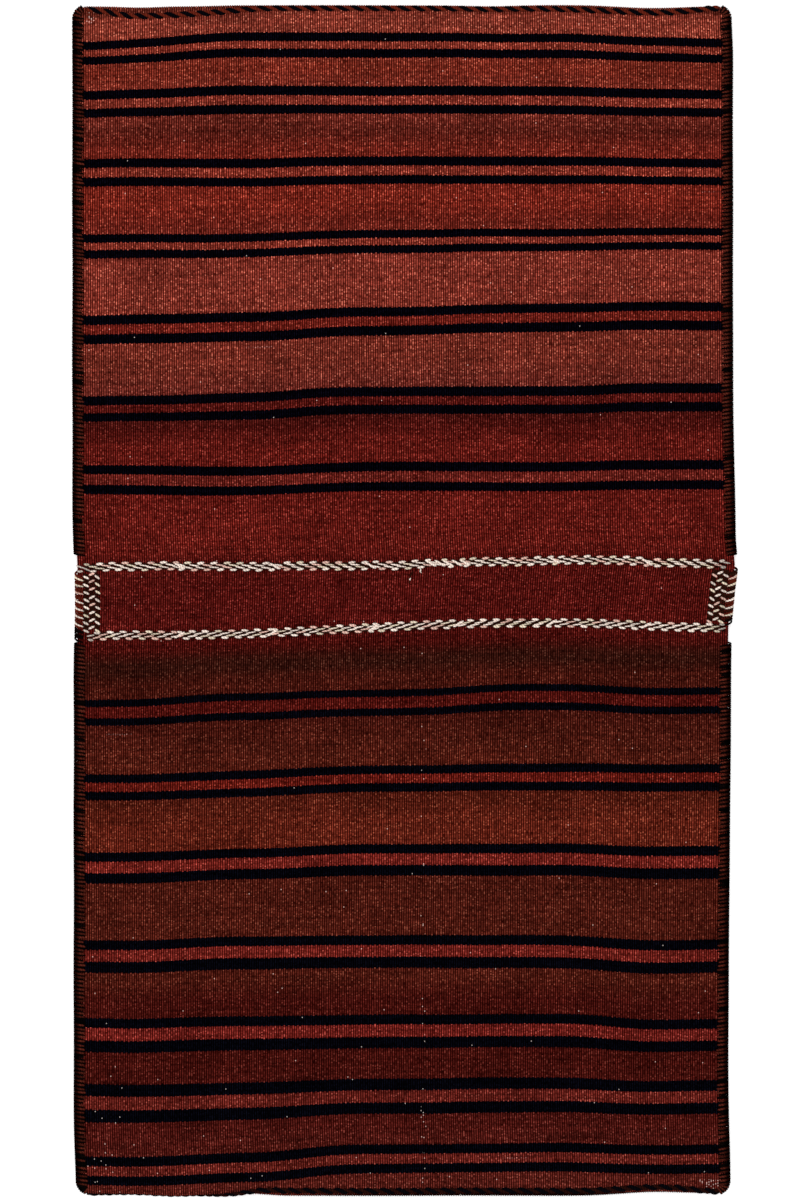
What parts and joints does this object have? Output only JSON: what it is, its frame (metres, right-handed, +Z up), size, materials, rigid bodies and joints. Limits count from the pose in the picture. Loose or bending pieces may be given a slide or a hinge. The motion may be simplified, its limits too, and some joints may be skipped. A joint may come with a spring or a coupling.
{
  "type": "kilim saddle bag",
  "caption": "Flat-woven wool double saddle bag, empty and lying with its striped madder-red back upwards; a plain bridge joins the two pockets.",
  "frame": {"origin": "middle of the bag's footprint, on the ground it lies on", "axes": "+Z up, out of the striped back; +Y along the bag towards the upper pocket; +X across it, towards the right-hand bindings"},
  "size_m": [0.58, 1.046, 0.0165],
  "materials": {
    "madder_weave": "weft-faced plain weave in wool, madder red with navy stripes, matt",
    "dark_binding": "black-brown and red-brown wool yarn, oversewn side by side, matt",
    "cream_and_brown": "cream and dark brown wool yarns, twined or wrapped, matt",
    "navy_and_rust": "blue-black and rust wool yarns, twined together, matt"
  },
  "bodies": {
    "root": {"woven_strip": "madder_weave", "upper_pocket_binding_left": "dark_binding", "upper_pocket_binding_right": "dark_binding", "lower_pocket_binding_left": "dark_binding", "lower_pocket_binding_right": "dark_binding", "upper_mouth_binding": "dark_binding", "lower_mouth_binding": "dark_binding", "bridge_twining_upper": "cream_and_brown", "bridge_twining_lower": "cream_and_brown", "bridge_wrapping_left": "cream_and_brown", "bridge_wrapping_right": "cream_and_brown", "upper_fold_twining": "navy_and_rust", "lower_fold_twining": "navy_and_rust"}
  },
  "joints": []
}
